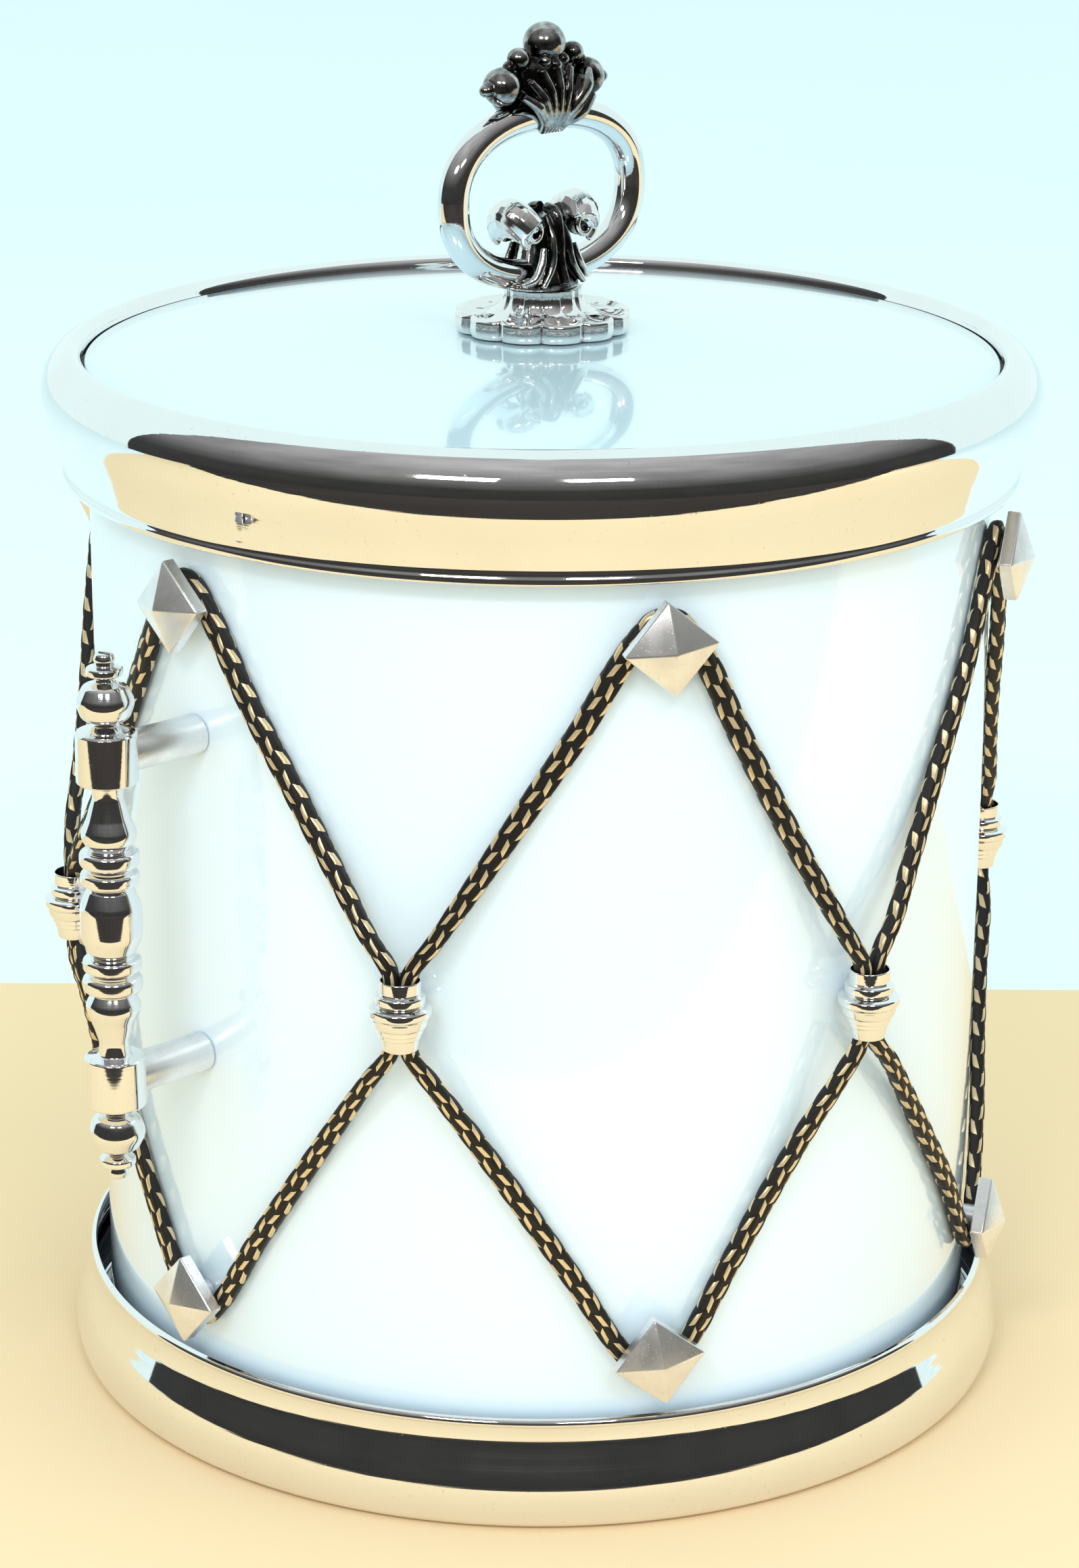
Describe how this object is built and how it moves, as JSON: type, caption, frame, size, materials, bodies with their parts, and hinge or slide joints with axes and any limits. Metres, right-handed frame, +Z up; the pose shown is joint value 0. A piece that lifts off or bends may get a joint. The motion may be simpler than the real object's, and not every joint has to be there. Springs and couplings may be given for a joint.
{
  "type": "ice bucket",
  "caption": "Drum-shaped insulated ice bucket in white vinyl with chrome bands, braided cord lacing, spindle side handles and a lift-off lid with a ring knob.",
  "frame": {"origin": "on the table under the middle of the drum", "axes": "+Z up along the drum's axis, +X through the right handle, -Y towards the front"},
  "size_m": [0.2788, 0.2426, 0.3258],
  "materials": {
    "vinyl": "glossy patent vinyl, white with a faint blue cast",
    "chrome": "polished chrome plate",
    "cast": "plated casting, satin, darkened in its recesses",
    "steel": "zinc-plated steel",
    "cord": "round braid, black with metallic gold yarn",
    "plastic": "moulded off-white plastic",
    "foam": "rigid insulating foam",
    "fibreboard": "pressed fibreboard",
    "felt": "black felt"
  },
  "bodies": {
    "body": {"vinyl_wrap": "vinyl", "drum_shell": "fibreboard", "base_board": "fibreboard", "wall_insulation": "foam", "floor_insulation": "foam", "liner": "plastic", "base_band": "chrome", "cord_sleeve_1": "chrome", "cord_sleeve_2": "chrome", "cord_sleeve_3": "chrome", "cord_sleeve_4": "chrome", "cord_sleeve_5": "chrome", "cord_sleeve_6": "chrome", "base_felt": "felt", "base_screw_1": "steel", "base_screw_2": "steel", "base_screw_3": "steel", "base_screw_4": "steel", "stud_top_1": "cast", "stud_top_2": "cast", "stud_top_3": "cast", "stud_top_4": "cast", "stud_top_5": "cast", "stud_top_6": "cast", "stud_bottom_1": "cast", "stud_bottom_2": "cast", "stud_bottom_3": "cast", "stud_bottom_4": "cast", "stud_bottom_5": "cast", "stud_bottom_6": "cast", "cord_loop_1": "cord", "cord_loop_2": "cord", "cord_loop_3": "cord", "cord_loop_4": "cord", "cord_loop_5": "cord", "cord_loop_6": "cord", "handle_left_spindle": "chrome", "handle_left_post_upper": "chrome", "handle_left_post_lower": "chrome", "handle_left_screw_upper": "steel", "handle_left_screw_lower": "steel", "handle_right_spindle": "chrome", "handle_right_post_upper": "chrome", "handle_right_post_lower": "chrome", "handle_right_screw_upper": "steel", "handle_right_screw_lower": "steel"},
    "lid": {"lid_band": "chrome", "lid_panel": "vinyl", "lid_core": "foam", "lid_pan": "plastic", "knob_foot": "cast", "knob_ring": "cast", "knob_screw": "steel", "knob_washer": "steel"}
  },
  "joints": [
    {"name": "lid_lift", "type": "slide", "parent": "body", "child": "lid", "axis": [0, 0, 1], "range_m": [0, 0.12]}
  ]
}
